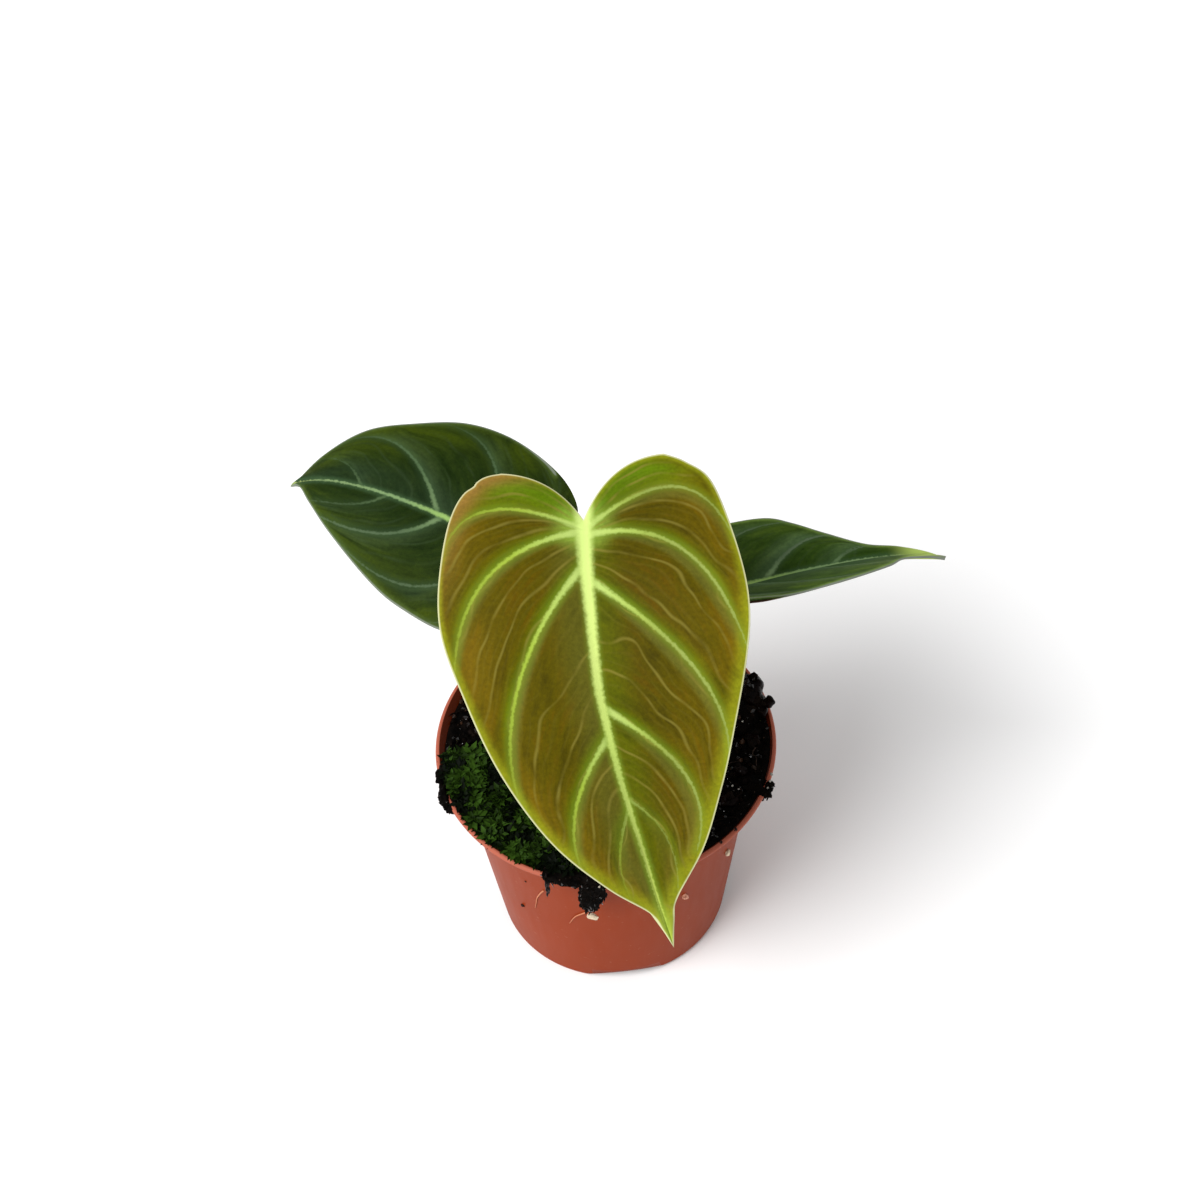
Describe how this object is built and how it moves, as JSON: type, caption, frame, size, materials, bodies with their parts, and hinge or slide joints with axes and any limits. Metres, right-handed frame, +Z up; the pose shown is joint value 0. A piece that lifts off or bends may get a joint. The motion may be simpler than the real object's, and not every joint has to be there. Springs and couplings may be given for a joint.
{
  "type": "potted philodendron rubrijuvenile",
  "caption": "Young aroid with velvety heart-shaped leaves on slim stalks, rooted in dark potting mix in a thin flared nursery pot.",
  "frame": {"origin": "centre of the pot's foot, on the surface that the pot stands on", "axes": "+Z up, out of the pot's mouth; the newest leaf hangs towards -Y"},
  "size_m": [0.1129, 0.0806, 0.1033],
  "materials": {
    "pot_plastic": "moulded terracotta-coloured plastic",
    "potting_mix": "wet black peat",
    "moss": "damp leafy moss",
    "stem": "smooth green stem",
    "new_leaf": "velvety olive bronze with lime veins",
    "old_leaf": "velvety dark green with pale veins",
    "leaf_stalk": "smooth juicy stalk",
    "grit": "chalky volcanic grit",
    "bark": "shredded bark"
  },
  "bodies": {
    "root": {"pot": "pot_plastic", "soil": "potting_mix", "moss": "moss", "stem": "stem", "leaf_front": "new_leaf", "petiole_front": "leaf_stalk", "leaf_left": "old_leaf", "petiole_left": "leaf_stalk", "leaf_right": "old_leaf", "petiole_right": "leaf_stalk", "grit_front": "grit", "grit_right": "grit", "bark_right": "bark"}
  },
  "joints": []
}
